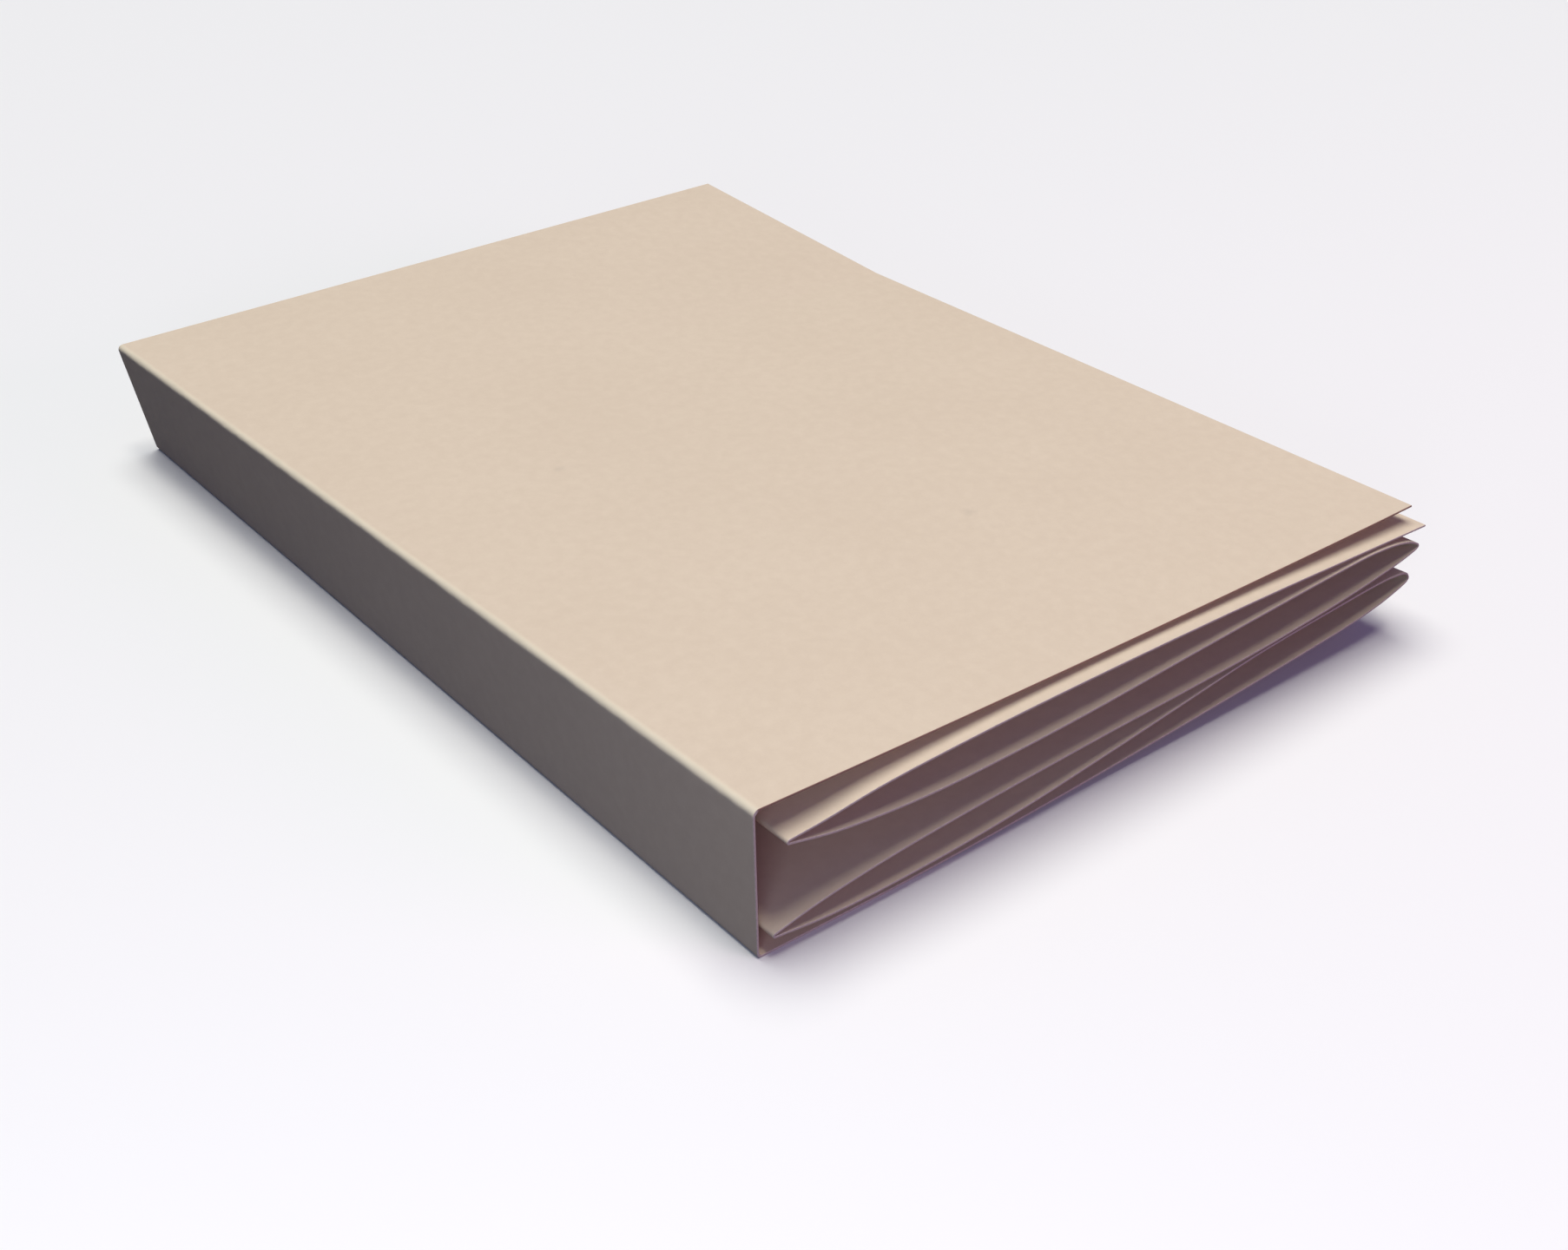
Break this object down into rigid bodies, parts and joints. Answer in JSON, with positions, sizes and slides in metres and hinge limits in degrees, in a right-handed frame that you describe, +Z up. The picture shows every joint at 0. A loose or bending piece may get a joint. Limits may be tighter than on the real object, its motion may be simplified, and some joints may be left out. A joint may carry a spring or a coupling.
{
  "type": "boxed accordion album",
  "caption": "Closed accordion album folded from heavy cream card: a flat front cover and box spine over zigzag leaves that spring open in rounded loops at the fore edge.",
  "frame": {"origin": "middle of the album's footprint, on the table", "axes": "+X from the spine to the fore edge, +Y along the spine from the near end to the far end, +Z up from the table"},
  "size_m": [0.1574, 0.2082, 0.0304],
  "materials": {
    "card": "matte uncoated cream card with faint fibre mottling and paler cut edges"
  },
  "bodies": {
    "accordion": {"accordion_sheet": "card"},
    "spine": {"spine": "card"},
    "front_cover": {"front_cover": "card"}
  },
  "joints": [
    {"name": "spine_crease", "type": "hinge", "parent": "accordion", "child": "spine", "pos_m": [-0.07371, 0, 0], "axis": [0, -1, 0], "range_deg": [0, 78]},
    {"name": "cover_crease", "type": "hinge", "parent": "spine", "child": "front_cover", "pos_m": [-0.07696, -0.00016, 0.02538], "axis": [0.0172, -0.9998, 0.0087], "range_deg": [0, 100]}
  ]
}
